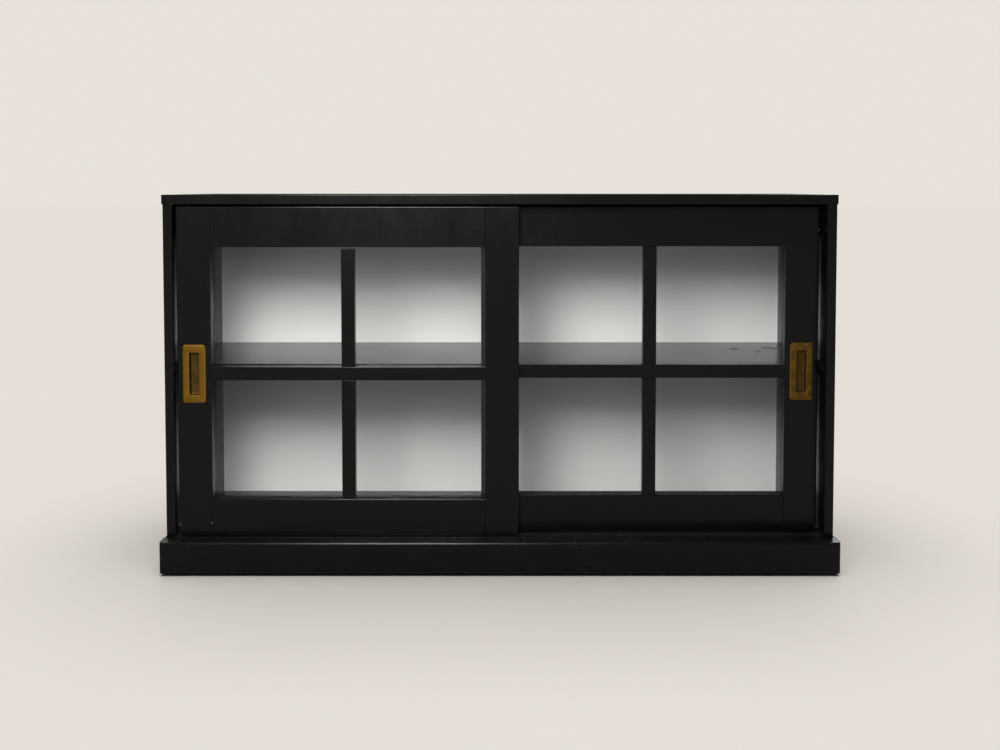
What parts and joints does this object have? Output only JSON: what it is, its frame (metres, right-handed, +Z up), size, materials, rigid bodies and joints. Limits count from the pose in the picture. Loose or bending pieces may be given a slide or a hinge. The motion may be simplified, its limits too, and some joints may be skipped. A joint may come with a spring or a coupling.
{
  "type": "sliding door display cabinet",
  "caption": "Low cabinet on a plinth with bypass sliding doors, each a cross-barred glazed frame with a flush pull and rollers, round a white-backed interior with a shelf.",
  "frame": {"origin": "on the floor, midway between the plinth's ends and midway from its face to the rear edges", "axes": "+X to the right seen from the front, -Y the front, +Z up"},
  "size_m": [1.2, 0.31, 0.672],
  "materials": {
    "black_lacquer": "black satin lacquer on board, fine orange-peel, edges a little worn",
    "white_back": "white matt foil on thin hardboard",
    "raw_board": "bare particle board",
    "dowel_wood": "plain beech",
    "glass": "clear 3 mm float glass",
    "brass": "brushed antique brass",
    "steel": "zinc-plated steel",
    "zinc": "die-cast zinc",
    "black_plastic": "moulded black plastic",
    "nylon": "natural nylon",
    "felt": "black felt pad"
  },
  "bodies": {
    "carcass": {"back_panel": "white_back", "bottom_cam_bolts": "steel", "bottom_cams": "zinc", "bottom_panel": "black_lacquer", "carcass_dowels": "dowel_wood", "corner_blocks": "raw_board", "door_sill": "black_lacquer", "front_bottom_track": "black_plastic", "front_top_track": "black_plastic", "glides": "black_plastic", "hanging_rail": "black_lacquer", "hanging_rail_dowels": "dowel_wood", "left_bumper": "felt", "left_side_panel": "black_lacquer", "plinth_back": "raw_board", "plinth_brace": "raw_board", "plinth_front": "black_lacquer", "plinth_left": "black_lacquer", "plinth_right": "black_lacquer", "rear_bottom_track": "black_plastic", "rear_top_track": "black_plastic", "right_bumper": "felt", "right_side_panel": "black_lacquer", "shelf": "black_lacquer", "shelf_pins": "steel", "top_cam_bolts": "steel", "top_cams": "zinc", "top_panel": "black_lacquer"},
    "front_door": {"front_door_axles": "steel", "front_door_bottom_rail": "black_lacquer", "front_door_glass": "glass", "front_door_glazing_beads": "black_lacquer", "front_door_horizontal_muntin": "black_lacquer", "front_door_left_stile": "black_lacquer", "front_door_pull": "brass", "front_door_right_stile": "black_lacquer", "front_door_roller_housings": "black_plastic", "front_door_top_guides": "black_plastic", "front_door_top_rail": "black_lacquer", "front_door_vertical_muntin": "black_lacquer"},
    "rear_door": {"rear_door_axles": "steel", "rear_door_bottom_rail": "black_lacquer", "rear_door_glass": "glass", "rear_door_glazing_beads": "black_lacquer", "rear_door_horizontal_muntin": "black_lacquer", "rear_door_left_stile": "black_lacquer", "rear_door_pull": "brass", "rear_door_right_stile": "black_lacquer", "rear_door_roller_housings": "black_plastic", "rear_door_top_guides": "black_plastic", "rear_door_top_rail": "black_lacquer", "rear_door_vertical_muntin": "black_lacquer"},
    "front_door_left_wheel": {"front_door_left_wheel": "nylon"},
    "front_door_right_wheel": {"front_door_right_wheel": "nylon"},
    "rear_door_left_wheel": {"rear_door_left_wheel": "nylon"},
    "rear_door_right_wheel": {"rear_door_right_wheel": "nylon"}
  },
  "joints": [
    {"name": "front_door_slide", "type": "slide", "parent": "carcass", "child": "front_door", "axis": [1, 0, 0], "range_m": [0, 0.5398]},
    {"name": "rear_door_slide", "type": "slide", "parent": "carcass", "child": "rear_door", "axis": [1, 0, 0], "range_m": [-0.5398, 0]},
    {"name": "front_door_left_wheel_spin", "type": "hinge", "parent": "front_door", "child": "front_door_left_wheel", "pos_m": [-0.4858, -0.116, 0.0656], "axis": [0, 1, 0], "range_deg": [-5, 3441.5]},
    {"name": "front_door_right_wheel_spin", "type": "hinge", "parent": "front_door", "child": "front_door_right_wheel", "pos_m": [-0.054, -0.116, 0.0656], "axis": [0, 1, 0], "range_deg": [-5, 3441.5]},
    {"name": "rear_door_left_wheel_spin", "type": "hinge", "parent": "rear_door", "child": "rear_door_left_wheel", "pos_m": [0.054, -0.094, 0.0656], "axis": [0, 1, 0], "range_deg": [-3441.5, 5]},
    {"name": "rear_door_right_wheel_spin", "type": "hinge", "parent": "rear_door", "child": "rear_door_right_wheel", "pos_m": [0.4858, -0.094, 0.0656], "axis": [0, 1, 0], "range_deg": [-3441.5, 5]}
  ],
  "couplings": [
    {"joint": "front_door_left_wheel_spin", "follows": "front_door_slide", "rad_per_m": 111.11},
    {"joint": "front_door_right_wheel_spin", "follows": "front_door_slide", "rad_per_m": 111.11},
    {"joint": "rear_door_left_wheel_spin", "follows": "rear_door_slide", "rad_per_m": 111.11},
    {"joint": "rear_door_right_wheel_spin", "follows": "rear_door_slide", "rad_per_m": 111.11}
  ]
}
